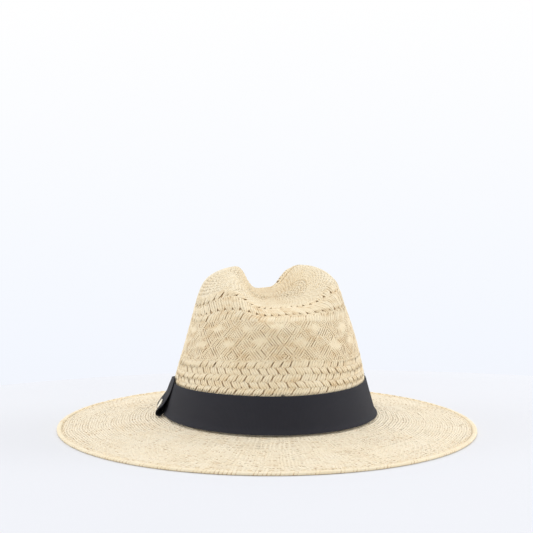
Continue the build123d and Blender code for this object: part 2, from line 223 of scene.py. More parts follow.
def strands(where, t, v, lift, width, thick, tone, section=LENS4, closed=False, gap_shade=(1, 1), calm=0.0):
    """M strands of N points each. Returns a group: ring points (M, N, K, 3) and per-point shading values.

    The pair given for the edges says how dark each of a strand's two edges is: painted shade, standing in for
    the shade in the gaps between strands. calm, from 0 to 1, fades both.
    """
    t, v, lift, width, thick = np.broadcast_arrays(t, v, lift, width, thick)
    centre, normal = where(t, v)
    centre = centre + lift[..., None] * normal
    if closed:
        along = np.roll(centre, -1, 1) - np.roll(centre, 1, 1)
    else:
        along = np.gradient(centre, axis=1)
    side = unit(np.cross(along, normal))
    rise = unit(np.cross(side, along))
    ring = (
        centre[:, :, None, :]
        + side[:, :, None, :] * (section[:, 0] * 0.5)[None, None, :, None] * width[:, :, None, None]
        + rise[:, :, None, :] * (section[:, 1] * 0.5)[None, None, :, None] * thick[:, :, None, None]
    )
    m, n = t.shape
    k = len(section)
    ids = rng.random(m)
    grain = np.empty((m, n, k, 3))
    grain[..., 0] = lengths_along(centre)[:, :, None]
    grain[..., 1] = section[None, None, :, 0] * width[:, :, None] * 0.5
    grain[..., 2] = (ids * GRAIN_STEP)[:, None, None]
    shade = np.broadcast_to(tone.reshape(m, -1)[:, :, None], (m, n, k))
    sides = np.where(section[:, 0] < 0, -gap_shade[0] * section[:, 0], gap_shade[1] * section[:, 0])
    edge = sides[None, None, :] * (1 - np.broadcast_to(calm, (m, n)))[:, :, None]
    return {"ring": ring, "grain": grain, "tone": shade, "edge": edge, "closed": closed}


CAPS = {4: [(0, 1, 2, 3)], 6: [(0, 1, 2, 3), (0, 3, 4, 5)]}  # faces that close a strand's end
CAP_FROM, CAP_UV = 0.9, 0.93  # shares of a strand's row: where its own UVs end, and where its caps' lie


def group_faces(group):
    """Four-sided faces and UVs of a group. Each strand has its own row of the UV square."""
    m, n, k = group["ring"].shape[:3]
    closed = group["closed"]
    last = n if closed else n - 1
    i = np.arange(m)[:, None, None]
    j = np.arange(last)[None, :, None]
    c = np.arange(k)[None, None, :]
    j1, c1 = (j + 1) % n, (c + 1) % k

    def at(i, j, c):
        return (i * n + j) * k + c

    quads = stacked(at(i, j, c), at(i, j, c1), at(i, j1, c1), at(i, j1, c)).reshape(-1, 4)
    u0, u1, v0, v1 = (
        np.broadcast_to(x, (m, last, k)).reshape(-1)
        for x in (j / last, (j + 1) / last, (i + c / k * CAP_FROM) / m, (i + (c + 1) / k * CAP_FROM) / m)
    )
    uv = np.stack([np.stack(corner, -1) for corner in ((u0, v0), (u0, v1), (u1, v1), (u1, v0))], 1)
    if not closed:
        for end, order in ((0, -1), (n - 1, 1)):
            for cap in CAPS[k]:
                cap = cap[::order]
                quads = np.concatenate([quads, np.stack([at(np.arange(m), end, c) for c in cap], -1)])
                corner = np.stack([np.full(m, end / (n - 1)), (np.arange(m) + CAP_UV) / m], -1)
                uv = np.concatenate([uv, np.repeat(corner[:, None, :], 4, 1)])
    return quads, uv


def make_mesh(name, points, quads, uv, values, vectors):
    """A smooth mesh from points in mm. values and vectors are what its material reads at each point."""
    mesh = bpy.data.meshes.new(name)
    mesh.vertices.add(len(points))
    mesh.vertices.foreach_set("co", (points * MM).astype(np.float32).ravel())
    mesh.loops.add(quads.size)
    mesh.loops.foreach_set("vertex_index", quads.astype(np.int32).ravel())
    mesh.polygons.add(len(quads))
    mesh.polygons.foreach_set("loop_start", np.arange(0, quads.size, 4, dtype=np.int32))
    mesh.update(calc_edges=True)
    mesh.uv_layers.new(name="OFBake").data.foreach_set("uv", uv.astype(np.float32).ravel())
    for kind, entry, fields in (("FLOAT", "value", values), ("FLOAT_VECTOR", "vector", vectors)):
        for key, data in fields.items():
            held = mesh.attributes.new(key, kind, "POINT").data
            held.foreach_set(entry, data.astype(np.float32).ravel())
    mesh.shade_smooth()
    return mesh


def new_object(name, data):
    made = bpy.data.objects.new(name, data)
    bpy.context.scene.collection.objects.link(made)
    return made


def add_piece(name, mesh, material, replaced):
    piece = new_object(name, mesh)
    mesh.materials.append(material)
    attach(piece, "root")
    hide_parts(replaced)
    return piece


def woven_piece(name, groups, material, replaced):
    """One piece made of all the groups of strands. It stands for the node called replaced."""
    quads, uvs = [], []
    base = row = 0
    rows = sum(len(g["ring"]) for g in groups)
    for g in groups:
        faces, uv = group_faces(g)
        m = len(g["ring"])
        uv[..., 1] = (uv[..., 1] * m + row) / rows
        quads.append(faces + base)
        uvs.append(uv)
        row += m
        base += g["ring"].size // 3

    def together(key, *shape):
        return np.concatenate([g[key].reshape(-1, *shape) for g in groups])

    values = {key: together(key) for key in ("tone", "edge")}
    vectors = {"grain": together("grain", 3)}
    mesh = make_mesh(name, together("ring", 3), np.concatenate(quads), np.concatenate(uvs), values, vectors)
    add_piece(name, mesh, material, replaced)


# ---- materials
class Shading:
    """The node tree of a material or a world, with short names for the nodes that this scene uses."""

    def __init__(self, owner):
        owner.use_nodes = True
        self.nodes = owner.node_tree.nodes
        self.links = owner.node_tree.links
        self.shader = self.nodes.get("Principled BSDF") or self.nodes["Background"]

    def paint(self, value, socket="Base Color"):
        self.feed(self.shader.inputs[socket], value)

    def feed(self, socket, value):
        """Sets a socket to a number or a colour, or links it to another node's output."""
        if isinstance(value, tuple):
            socket.default_value = (*value, 1)
        elif isinstance(value, (int, float)):
            socket.default_value = value
        elif value is not None:
            self.links.new(value, socket)

    def node(self, kind, *values, **settings):
        """Adds a node, with its first inputs fed from values."""
        made = self.nodes.new("ShaderNode" + kind)
        for key, value in settings.items():
            setattr(made, key, value)
        for socket, value in zip(made.inputs, values):
            self.feed(socket, value)
        return made

    def ramp(self, value, stops):
        made = self.node("ValToRGB", value)
        elements = made.color_ramp.elements
        while len(elements) < len(stops):
            elements.new(0.5)
        for element, (place, colour) in zip(elements, stops):
            element.position = place
            element.color = (*colour, 1)
        return made.outputs["Color"]

    def maths(self, operation, a, b=None, c=None, clamp=False):
        return self.node("Math", a, b, c, operation=operation, use_clamp=clamp).outputs[0]

    def scaled(self, value, factor, offset, clamp=False):
        return self.maths("MULTIPLY_ADD", value, factor, offset, clamp)

    def attribute(self, name, output):
        return self.node("Attribute", attribute_name=name).outputs[output]

    def place(self, kind="Object"):
        return self.node("TexCoord").outputs[kind]

    def axes(self, vector):
        return self.node("SeparateXYZ", vector).outputs

    def noise(self, vector, stretch, detail):
        longer = self.node("VectorMath", vector, operation="MULTIPLY")
        longer.inputs[1].default_value = stretch
        made = self.node("TexNoise", longer.outputs[0])
        made.inputs["Scale"].default_value = 1.0
        made.inputs["Detail"].default_value = detail
        return made.outputs["Fac"]

    def mixed(self, share, a, b):
        made = self.node("Mix", share, data_type="RGBA")
        self.feed(made.inputs[6], a)
        self.feed(made.inputs[7], b)
        return made.outputs[2]

    def bump(self, height, strength, distance):
        made = self.node("Bump")
        made.inputs["Strength"].default_value = strength
        made.inputs["Distance"].default_value = distance
        self.feed(made.inputs["Height"], height)
        self.paint(made.outputs["Normal"], "Normal")


def new_material(name, **settings):
    """A material and its Shading. settings are shader inputs, with _ for a space."""
    material = bpy.data.materials.new(name)
    tree = Shading(material)
    for key, value in settings.items():
        tree.shader.inputs[key.replace("_", " ")].default_value = value
    return material, tree


FIBRE_STRETCH = (0.22, 3.4, 1.0)  # fibres are long along a strand and fine across it
RUN_STRETCH = (0.16, 0.02, 1.0)
BLOT_SCALE = (42.0, 42.0, 42.0)
FIBRE_SHARE, BLOT_SHARE, TONE_SHARE, SHADE_START = 0.55, 0.5, 0.42, -0.24
EDGE_GAIN = 1.5
BREAK_GAIN, BREAK_START = 12.0, -6.2
STRAW_FINISH = {"Roughness": 0.62, "Specular_IOR_Level": 0.35, "Sheen_Weight": 0.1, "Sheen_Roughness": 0.6}


def straw_material(name, pale, middle, deep, gap_shade_share, dashes=0.0, reach=0.62):
    """Flat paper straw: each strand has its own tone, long fibre streaks and blots, and browner edges that
    are painted shade, for the shade in the gaps between strands.

    dashes, from 0 to 1, breaks the painted shade at the edges up into short separate lines. reach is where,
    from a strand's middle at 0 to its edge at 1, the painted shade starts.
    """
    material, tree = new_material(name, **STRAW_FINISH)
    grain = tree.attribute("grain", "Vector")
    fibre = tree.noise(grain, FIBRE_STRETCH, 3.0)
    blots = tree.noise(tree.place(), BLOT_SCALE, 2.0)
    value = tree.scaled(blots, BLOT_SHARE, SHADE_START)
    value = tree.scaled(fibre, FIBRE_SHARE, value)
    value = tree.scaled(tree.attribute("tone", "Fac"), TONE_SHARE, value)
    straw = tree.ramp(value, [(0.0, pale), (0.45, middle), (1.0, deep)])
    # painted shade: near its edges each strand turns towards the painted gap-shade colour, broken into dashes
    # where dashes is set
    slope = EDGE_GAIN / (1 - reach)
    edge = tree.scaled(tree.attribute("edge", "Fac"), slope, -slope * reach, clamp=True)
    run = tree.noise(grain, RUN_STRETCH, 1.0)
    broken = tree.scaled(run, BREAK_GAIN, BREAK_START, clamp=True)
    share = tree.scaled(broken, dashes, 1.0 - dashes)
    share = tree.maths("MULTIPLY", tree.maths("MULTIPLY", share, edge), gap_shade_share)
    tree.paint(tree.mixed(share, straw, GAP_SHADE_COLOUR))
    tree.bump(fibre, 0.35, 0.00012)
    return material


# painted shade: the brown that strand edges take, standing in for the shade in the gaps between strands
GAP_SHADE_COLOUR = (0.50, 0.27, 0.09)
STRAW = straw_material("straw_paper", (0.95, 0.84, 0.63), (0.91, 0.77, 0.53), (0.62, 0.37, 0.13), 0.85)
STRAW_TIP = straw_material("straw_tip", (0.95, 0.86, 0.68), (0.90, 0.77, 0.54), (0.68, 0.45, 0.21), 0.75)
# painted light: the brim's straw is a paler copy of the crown's straw, for the stronger light on surfaces
# that face up
STRAW_BRIM = straw_material(
    "straw_brim", (0.965, 0.88, 0.71), (0.93, 0.81, 0.60), (0.72, 0.49, 0.25), 0.95, dashes=0.85, reach=0.34
)
# painted light: the rolled edge's straw is as pale as the brim's, for the light on the roll's top
STRAW_EDGE = straw_material("straw_edge", (0.97, 0.89, 0.71), (0.93, 0.79, 0.54), (0.76, 0.55, 0.29), 0.6)


def ripples(count, seed, turns, rows):
    """A smooth random field on (angle, row), made of a few waves, about -1 to 1."""
    draw = np.random.default_rng(seed)
    around = draw.integers(2, turns, count)
    upward = draw.uniform(-rows, rows, count)
    start = draw.random(count) * TAU

    def field(t, v):
        t, v = np.broadcast_arrays(t, v)
        total = np.zeros(t.shape)
        for a, b, c in zip(around, upward, start):
            total = total + np.sin(a * t + b * v + c)
        return total / math.sqrt(count)

    return field


# ---- crown: lower lattice
# rows are shares of the way from the headline to the tip's middle
ROW_STEP = 0.0326
PAD_ROWS = 0.2996  # one row of pads, which the others are counted from
LATTICE_FOOT, LATTICE_TOP = 0.145, 0.349
TOP_FLAT = 0.336  # from here up the bands flatten into the next zone
LOW_COLUMNS = 64
LOW_LIFT, HIGH_LIFT = 0.52, 0.46  # how far a band rises over the other family, and sinks under it
BAND_THICK = 0.6
BACK_LIFT, BACK_THICK = -0.58, 0.45
# painted shade: the wefts behind the bands take a deep tone, for the shade in the gaps between bands
BACK_SHADE_TONE = np.array([[1.15]])
RING_SWAY = 0.0012
DIP, DIP_REACH = 3.1, 0.72
TUCK_FROM, TUCK_TO, TUCK_DEPTH = 40.5, 44.0, 0.25


def band_dip(t):
    """How much lower the ribbon's top edge lies near the keeper than in front."""
    return DIP * np.exp(-(((np.mod(t, TAU) - math.pi) / DIP_REACH) ** 2))


def tuck(t, v, lift):
    """Lets the straw sink under the ribbon: nothing stands out below the ribbon's top edge."""
    z = crown_at(t, v)[0][..., 2] + band_dip(t)
    k = smooth(z, TUCK_FROM, TUCK_TO)
    return lift * (0.25 + 0.75 * k) - TUCK_DEPTH * (1 - k)


def bundle(t, v, lift, spread, width, flip, settle, tone, inner):
    """A flat band of three fine strands side by side on the crown.

    spread is the angle between them, and inner is how brown the edges are where they meet: painted shade, for
    the shade in the gaps between the strands.
    """
    made = []
    for k in (-1, 0, 1):
        t_k = t + k * spread
        lift_k = lift + (0.07 if k == 0 else -0.03) + rng.normal(0, 0.03, (t.shape[0], 1))
        if settle is not None:
            lift_k = settle(t_k, v, lift_k)
        gap_shade = {-1: (inner, 1.0), 0: (inner, inner), 1: (1.0, inner)}[k * flip]
        made.append(strands(crown_at, t_k, v, lift_k, width, BAND_THICK, tone, gap_shade=gap_shade))
    return made


def lower_lattice():
    """Two leaning families of three-strand bands in a plain weave: each row shows the other family on top."""
    groups = []
    per_row = 6
    n = int((LATTICE_TOP - LATTICE_FOOT) / ROW_STEP * per_row) + 1
    v = np.linspace(LATTICE_TOP, LATTICE_FOOT, n)[None, :]
    phase = (PAD_ROWS - v) / ROW_STEP
    i = np.arange(LOW_COLUMNS)[:, None]
    half = TAU / LOW_COLUMNS / 2
    swing = np.cos(math.pi * phase)
    up = np.sign(swing) * np.abs(swing) ** 0.75
    top = smooth(v, TOP_FLAT, LATTICE_TOP)
    for way in (1, -1):
        jitter = rng.normal(0, 0.005, (LOW_COLUMNS, 1)) + 0.004 * LATTICE_DRIFT(i * 2 * half, v * 9)
        t = -math.pi / 2 + i * 2 * half + way * phase * half + jitter
        lift = LOW_LIFT * way * up * (1 - top) + 0.05 * top
        over = np.clip(0.5 + 0.5 * way * up, 0, 1)
        size = 1 + rng.normal(0, 0.06, (LOW_COLUMNS, 1))
        size = size + 0.07 * np.sin(phase * 4 + rng.random((LOW_COLUMNS, 1)) * 30)
        # bands that go over are full and leaf shaped; those that go under are drawn in
        spread = half * (0.42 + 0.18 * over) * size
        width = (1.75 + 0.85 * over) * size
        tone = rng.random((LOW_COLUMNS, 1)) * 0.35 + 0.25 * LATTICE_TONE(t, v * 6) + 0.2
        groups += bundle(t, v, lift, spread, width, 1, tuck, tone, 0.45)
    # wefts run behind the rows and close most of the gaps; their darker tone is painted shade, for the shade
    # in those gaps
    t = angles(LOW_COLUMNS * 4)
    for row in np.arange(PAD_ROWS + 0.5 * ROW_STEP, LATTICE_FOOT, -ROW_STEP / 2):
        v_row = row + RING_SWAY * np.sin(7 * t + rng.random() * TAU)
        lift = tuck(t, v_row, np.full_like(t, BACK_LIFT))
        groups.append(strands(crown_at, t, v_row, lift, 2.5, BACK_THICK, BACK_SHADE_TONE, closed=True))
    return groups


LATTICE_DRIFT = ripples(7, 11, 15, 6)
LATTICE_TONE = ripples(9, 12, 60, 30)


def long_ring(v_row, points, lift, width, thick, section, tone):
    """One strand that runs all the way round the crown at row v_row."""
    t = angles(points)
    v = v_row + RING_SWAY * np.sin(7 * t + rng.random() * TAU)
    return strands(crown_at, t, v, lift, width, thick, tone, section, closed=True)


# ---- crown: dense zone with diamond floats
DENSE = (0.352, 0.548)
FINE = 186  # strands of each lean
LEAN = 31.0 / 80.0  # angle that a strand covers from the zone's foot to its top
CROSSINGS = 25
DENSE_BACK_POINTS, DENSE_BACK_STEP = 240, 0.0115
CELLS = 21
PATCHES = 14  # in each row
PATCH_ROWS = ((0.515, 0.0), (0.440, 0.5))  # row, and how far round it starts
PATCH_PLACE, PATCH_SIZE, PATCH_RISE = np.random.default_rng(21).random((3, PATCHES))


def patches(t, v):
    """Where the dense zone is smooth, 0 to 1: two rows of lens-shaped patches of broad flat straw."""
    t, v = np.broadcast_arrays(t, v)
    calm = np.zeros(t.shape)
    for row, offset in PATCH_ROWS:
        turn = np.mod(t * PATCHES / TAU + offset, PATCHES)
        cell = np.floor(turn).astype(int)
        middle = PATCH_PLACE[cell] * 0.24 + 0.38
        reach = 0.20 + 0.13 * PATCH_SIZE[cell]
        rise = (PATCH_RISE[cell] - 0.5) * 0.022
        height = 0.019 + 0.011 * PATCH_SIZE[cell]
        away = np.abs(turn - cell - middle) / reach + np.abs(v - row - rise) / height
        calm = np.maximum(calm, 1 - smooth(away, 0.75, 1.15))
    return calm


def dense_zone():
    """Fine strands at 45 degrees: cells of one lean and the other, with smooth patches between them."""
    groups = []
    n = CROSSINGS * 2 + 1
    v = np.linspace(DENSE[0], DENSE[1], n)[None, :]
    share = (v - DENSE[0]) / (DENSE[1] - DENSE[0])
    i = np.arange(FINE)[:, None]
    for way in (1, -1):
        t = i * TAU / FINE + way * share * LEAN + rng.normal(0, 0.0025, (FINE, 1))
        t = t + 0.004 * LATTICE_DRIFT(i * TAU / FINE, v * 5)
        calm = patches(t, v)
        wander = LATTICE_DRIFT(t, v)
        cell = np.cos(CELLS * t + 0.9 * wander) * np.cos(share * TAU * 2.1 + 0.5 + 0.5 * wander)
        over = np.tanh(cell * way * 3)
        ripple = np.cos(math.pi * np.arange(n))[None, :] * np.where(i % 2, 1, -1)
        lift = (0.22 * over + 0.16 * ripple) * (1 - 0.75 * calm)
        width = 2.15 + rng.normal(0, 0.18, (FINE, 1)) + 0.9 * calm
        tone = 0.3 * rng.random((FINE, 1)) * (1 - calm) + 0.2 * LATTICE_TONE(t, v * 5) + 0.25
        groups.append(strands(crown_at, t, v, lift, width, BAND_THICK, tone, calm=0.9 * calm))
    # painted shade: the rings behind take a deeper tone, for the shade in the gaps between the fine strands
    back_shade_tone = np.array([[0.55]])
    for row in np.arange(DENSE[0], DENSE[1] + 0.001, DENSE_BACK_STEP):
        groups.append(long_ring(row, DENSE_BACK_POINTS, -0.55, 2.4, 0.4, LENS4, back_shade_tone))
    return groups


# ---- crown: upper lattice
HIGH_COLUMNS = 56
HIGH = (0.542, 0.742)
HIGH_STEP = 0.0505
HIGH_PADS = 0.5697  # the lowest row of pads
OPEN_ROWS, OPEN_REACH = (0.62, 2.62), 0.30  # in steps above that row, where the holes are
HIGH_UP = ([-1, 0, 0.5, 1, 1.5, 2, 2.5, 3, 4], [0.5, -1, 0, 1, 0.75, 1, 0, -1, 0.3])
# rings that close the lattices off: row, points round, lift, width, thickness, tone
BORDERS = [
    (0.738, 224, 0.05, 2.3, 0.7, 0.2), (0.5465, 224, 0.0, 1.8, 0.6, 0.3), (0.3512, 256, 0.0, 1.8, 0.6, 0.3),
]


def upper_lattice():
    """The same weave as the lower lattice, wider: holes show only above the even rows of pads."""
    groups = []
    n = 32
    v = np.linspace(HIGH[0], HIGH[1], n)[None, :]
    phase = (v - HIGH_PADS) / HIGH_STEP
    i = np.arange(HIGH_COLUMNS)[:, None]
    half = TAU / HIGH_COLUMNS / 2
    up = np.interp(phase, *HIGH_UP)
    open_rows = sum(np.exp(-(((phase - row) / OPEN_REACH) ** 2)) for row in OPEN_ROWS)
    for way in (1, -1):
        t = -math.pi / 2 + i * 2 * half - way * phase * half + rng.normal(0, 0.005, (HIGH_COLUMNS, 1))
        lift = HIGH_LIFT * way * up
        over = smooth(0.5 + 0.5 * way * up, 0.0, 0.75)
        size = 1 + rng.normal(0, 0.07, (HIGH_COLUMNS, 1))
        shut = 1.15 - 0.48 * open_rows
        spread = half * (0.42 + 0.17 * over) * size * shut
        width = (1.8 + 0.85 * over) * size * shut
        tone = rng.random((HIGH_COLUMNS, 1)) * 0.35 + 0.25 * LATTICE_TONE(t, v * 6) + 0.2
        groups += bundle(t, v, lift, spread, width, -1, None, tone, 0.4)
    # painted shade: the wefts behind take the same deep tone, for the shade in the gaps
    for row in np.arange(0.5571, 0.735, HIGH_STEP / 6):
        groups.append(long_ring(row, 224, BACK_LIFT, 2.1, BACK_THICK, LENS4, BACK_SHADE_TONE))
    for row, points, lift, width, thick, tone in BORDERS:
        groups.append(long_ring(row, points, lift, width, thick, LENS6, np.array([[tone]])))
    return groups


# ---- crown: the tip
def in_dent(t, v):
    """From 0 to 1, how far a point of the tip lies in the dent between the two hills."""
    return np.exp(-(((crown_at(t, v)[0][..., 0] - DENT_X) / DENT_SPREAD) ** 2)) * smooth(v, 0.75, 0.80)


DENT_X, DENT_SPREAD = 6.0, 17.0
# painted shade: in the dent the strands take a darker tone, and the rings there keep more painted shade at
# their edges
DENT_SHADE = 0.32
# from row, to row, strands: each zone inwards drops half of the strands
TIP_ZONES = [(0.738, 0.868, 176), (0.868, 0.938, 88), (0.938, 0.976, 44), (0.976, 0.995, 22)]
TIP_PITCH, TIP_THICK, TIP_RING_WIDTH = 0.0118, 0.5, 2.6
TIP_WIDTH = ([0.73, 0.86, 0.87, 0.93, 0.94, 0.97, 1], [2.9, 2.4, 3.2, 2.0, 2.8, 1.6, 1.0])


def tip_weave():
    """The tip's basket weave of strands that run inwards and rings that go over and under them."""
    groups = []
    for lo, hi, count in TIP_ZONES:
        rings = max(2, round((hi - lo) / TIP_PITCH))
        i = np.arange(count)[:, None]
        n = rings * 2 + 1
        steps = np.arange(n)[None, :]
        v = lo + (hi - lo) * steps / (n - 1)
        t = i * TAU / count + rng.normal(0, 0.10, (count, 1)) * TAU / count
        sign = np.where((steps // 2 + i) % 2, 1.0, -1.0)
        lift = np.where(steps % 2, sign * 0.32, 0.0)
        width = np.interp(v, *TIP_WIDTH) + rng.normal(0, 0.2, (count, 1))
        deep = in_dent(t, v)
        # painted shade: a darker tone in the dent
        tone = 0.5 * rng.random((count, 1)) + DENT_SHADE * deep
        groups.append(strands(crown_at, t, v, lift * (0.4 + 0.5 * deep), width, TIP_THICK, tone))
        for r in range(rings):
            v_ring = lo + (hi - lo) * (r + 0.5) / rings
            j = np.arange(count * 2)[None, :]
            t_ring = angles(count * 2)
            sign = np.where((r + j // 2) % 2, -1.0, 1.0)
            lift = np.where(j % 2 == 0, sign * 0.30, 0.0)
            v_ring = v_ring + rng.normal(0, 0.0006) + 0.0012 * LATTICE_DRIFT(t_ring, v_ring)
            deep = in_dent(t_ring, v_ring)
            # painted shade: a darker tone, and more shade at the edges, in the dent
            tone = np.repeat(rng.random(count), 2)[None, :] * 0.6 + DENT_SHADE * deep
            ring = (t_ring, v_ring, lift * (0.4 + 0.5 * deep), TIP_RING_WIDTH, TIP_THICK, tone)
            groups.append(strands(crown_at, *ring, closed=True, calm=0.8 - 0.7 * deep))
    return groups


# ---- brim
BRIM_ZONES = [(0.0, 0.36, 168), (0.36, 1.0, 336)]  # from share, to share, warps
BRIM_PITCH = 0.0250
WARP_LIFT, WARP_WIDTH, WARP_THICK = 0.09, 3.2, 0.4
WEFT_LIFT_INNER, WEFT_LIFT_OUTER = 0.05, 0.10
WEFT_WIDTH, WEFT_THICK = 3.05, 0.5
FLIPPED = 0.13  # share of the crossings that are woven the wrong way
OPEN_NARROW = 0.6
BRIM_DRIFT = ripples(9, 3, 26, 22)
BRIM_SWAY = ripples(9, 4, 20, 26)
# degrees round the brim, share from the crown to the rim, and the patch's reach in both
PINHOLE_PATCHES = [
    (-48, 0.42, 15, 0.2), (-66, 0.55, 9, 0.13), (-104, 0.3, 8, 0.1), (130, 0.5, 14, 0.2), (20, 0.6, 10, 0.15),
]


def openness(t, s):
    """How loose the brim's weave is, 0 to 1: a few patches show a grid of pinholes."""
    t, s = np.broadcast_arrays(t, s)
    total = np.zeros(t.shape)
    for degrees, share, wide, deep in PINHOLE_PATCHES:
        away = np.abs((np.degrees(t) - degrees + 180) % 360 - 180) / wide
        total = np.maximum(total, 1 - smooth(np.hypot(away, (s - share) / deep), 0.5, 1.0))
    return total


def brim_weave():
    """The brim's plain weave: warps run out from the crown, and wefts ring it."""
    wefts, warps = [], []
    for lo, hi, count in BRIM_ZONES:
        rings = round((hi - lo) / BRIM_PITCH)
        over = np.where((np.arange(rings)[:, None] + np.arange(count)[None, :]) % 2, 1.0, -1.0)
        over[rng.random(over.shape) < FLIPPED] *= -1
        i = np.arange(count)[:, None]
        n = rings * 2 + 1
        steps = np.arange(n)[None, :]
        s = lo + (hi - lo) * steps / (n - 1)
        t = i * TAU / count + rng.normal(0, 0.12, (count, 1)) * TAU / count
        t = t + 0.006 * BRIM_SWAY(t, s)
        lift = np.zeros((count, n))
        lift[:, 1::2] = -WARP_LIFT * over.T
        loose = openness(t, s)
        width = WARP_WIDTH + rng.normal(0, 0.15, (count, 1)) - OPEN_NARROW * loose
        tone = 0.35 * rng.random((count, 1)) + 0.1
        # painted shade: in the pinhole patches the warps' edges take stronger painted shade, for the shade
        # seen through the holes
        warps.append(strands(brim_at, t, s, lift, width, WARP_THICK, tone, calm=0.6 - 0.8 * loose))
        for r in range(rings):
            m = count * 2
            t_ring = angles(m)
            lift = np.zeros((1, m))
            wave = WEFT_LIFT_INNER if hi < 1 else WEFT_LIFT_OUTER
            lift[0, 0::2] = wave * over[r] * rng.uniform(0.7, 1.2, count)
            uneven = rng.normal(0, 1, (1, m))
            uneven = sum(np.roll(uneven, k, 1) for k in range(4))
            lift = lift + 0.028 * uneven
            s_ring = lo + (hi - lo) * (r + 0.5) / rings + rng.normal(0, 0.0012)
            s_ring = np.clip(s_ring + 0.0075 * BRIM_DRIFT(t_ring, s_ring), 0, 0.995)
            width = WEFT_WIDTH + 0.08 * uneven - OPEN_NARROW * openness(t_ring, s_ring)
            tone = np.repeat(rng.random(count), 2)[None, :] * 0.4 + 0.2 * rng.random()
            wefts.append(strands(brim_at, t_ring, s_ring, lift, width, WEFT_THICK, tone, closed=True))
    return wefts, warps


woven_piece("crown_lattice_low", lower_lattice(), STRAW, "crown")
woven_piece("crown_dense_zone", dense_zone(), STRAW, "crown")
woven_piece("crown_lattice_high", upper_lattice(), STRAW, "crown")
woven_piece("crown_tip", tip_weave(), STRAW_TIP, "crown")
brim_wefts, brim_warps = brim_weave()
woven_piece("brim_wefts", brim_wefts, STRAW_BRIM, "brim")
woven_piece("brim_warps", brim_warps, STRAW_BRIM, "brim")


# ---- cloth: ribbon, keeper, sweatband, label
def closed_sheet(points):
    """Faces and UVs of a closed tube of points (N, K, 3): round the hat in N, round its section in K."""
    n, k = points.shape[:2]
    i, j = np.arange(n)[:, None], np.arange(k)[None, :]
    i1, j1 = (i + 1) % n, (j + 1) % k
    quads = stacked(i * k + j, i * k + j1, i1 * k + j1, i1 * k + j).reshape(-1, 4)
    corners = ((i, j), (i, j + 1), (i + 1, j + 1), (i + 1, j))
    uv = np.stack([stacked(a / n, b / k) for a, b in corners], 2).reshape(-1, 4, 2)
    return quads, uv


def strip_cloth(points, along, across):
    """Cloth from points (N, K, 3) of a strip whose two ends are capped. across runs out and back in K."""
    n, k = points.shape[:2]
    quads, uv = closed_sheet(points)
    inside = np.ones((n, k), bool)
    inside[-1] = False
    quads, uv = quads[inside.ravel()], uv[inside.ravel()]
    caps = []
    for row, order in ((0, -1), (n - 1, 1)):
        for j in range(k // 2 - 1):
            caps.append([row * k + j, row * k + j + 1, row * k + k - 2 - j, row * k + k - 1 - j][::order])
    corner = np.array([[0, 0], [0, 1e-4], [1e-4, 1e-4], [1e-4, 0]]) + 1e-3
    quads, uv = np.concatenate([quads, caps]), np.concatenate([uv, np.repeat(corner[None], len(caps), 0)])
    grain = stacked(along[:, None], np.concatenate([across, across[::-1]])[None, :], 0.0)
    return points.reshape(-1, 3), quads, uv, grain.reshape(-1, 3)


def wall_band(section, count, ribs, depth, wave, dip=None):
    """A band round the crown wall. section lists (distance off the wall, height, rib share)."""
    t = np.arange(count)[:, None] * TAU / count
    off, z, share = (np.array(column)[None, :] for column in zip(*section))
    off = off + depth * share * np.cos(ribs * t) + wave(t, z)
    if dip is not None:
        z = z - dip(t) * smooth(z, DIP_FROM, RIBBON_TOP)
    half = wall_axes(z)[0] + off
    points = stacked(half * np.cos(t) + SHIFT, (half + WALL_LONGER) * np.sin(t), z)
    grain = stacked(t * BAND_GRAIN, z, 0.0)
    quads, uv = closed_sheet(points)
    return points.reshape(-1, 3), quads, uv, grain.reshape(-1, 3)


DIP_FROM = 24.0
BAND_GRAIN = 88.5  # mm round the band for each radian
YARN_PITCH = 0.42


def cloth_material(name, dark, light, rough, rib_pitch, depth, sheen=0.3):
    """Ribbed woven tape. The ribs are lines at rib_pitch mm along grain X, crossed by a much finer weave."""
    finish = {"Roughness": rough, "Specular_IOR_Level": 0.25, "Sheen_Weight": sheen, "Sheen_Roughness": 0.5}
    material, tree = new_material(name, **finish)
    grain = tree.attribute("grain", "Vector")
    axes = tree.axes(grain)
    rib = tree.maths("SINE", tree.maths("MULTIPLY", axes["X"], TAU / rib_pitch))
    yarn = tree.maths("SINE", tree.maths("MULTIPLY", axes["Y"], TAU / YARN_PITCH))
    weave = tree.scaled(tree.maths("MULTIPLY", rib, yarn), 0.35, rib)
    fuzz = tree.noise(grain, (1.6, 1.6, 1.6), 4.0)
    patch = tree.noise(grain, (0.05, 0.09, 0.05), 2.0)
    value = tree.scaled(weave, 0.10, 0.36)
    value = tree.scaled(fuzz, 0.25, value)
    value = tree.scaled(patch, 0.30, tree.maths("ADD", value, -0.28))
    tree.paint(tree.ramp(value, [(0.0, dark), (1.0, light)]))
    tree.bump(tree.maths("ADD", weave, fuzz), 0.5, depth)
    return material


RIBBON_PITCH = 1.10
RIBBON_DARK, RIBBON_LIGHT = (0.0170, 0.0172, 0.0235), (0.031, 0.0315, 0.042)
RIBBON_CLOTH = cloth_material("ribbon_grosgrain", RIBBON_DARK, RIBBON_LIGHT, 0.8, RIBBON_PITCH, 0.0001, 0.04)
COTTON_TAPE = cloth_material("sweatband_tape", (0.68, 0.60, 0.46), (0.84, 0.78, 0.66), 0.9, 1.7, 0.0002)
SATIN = cloth_material("label_satin", (0.82, 0.82, 0.79), (0.93, 0.93, 0.91), 0.38, 0.5, 0.00003, 0.1)


def add_cloth(name, made, material, node):
    points, quads, uv, grain = made
    mesh = make_mesh(name, points, quads, uv, {}, {"grain": grain})
    piece = add_piece(name, mesh, material, node)


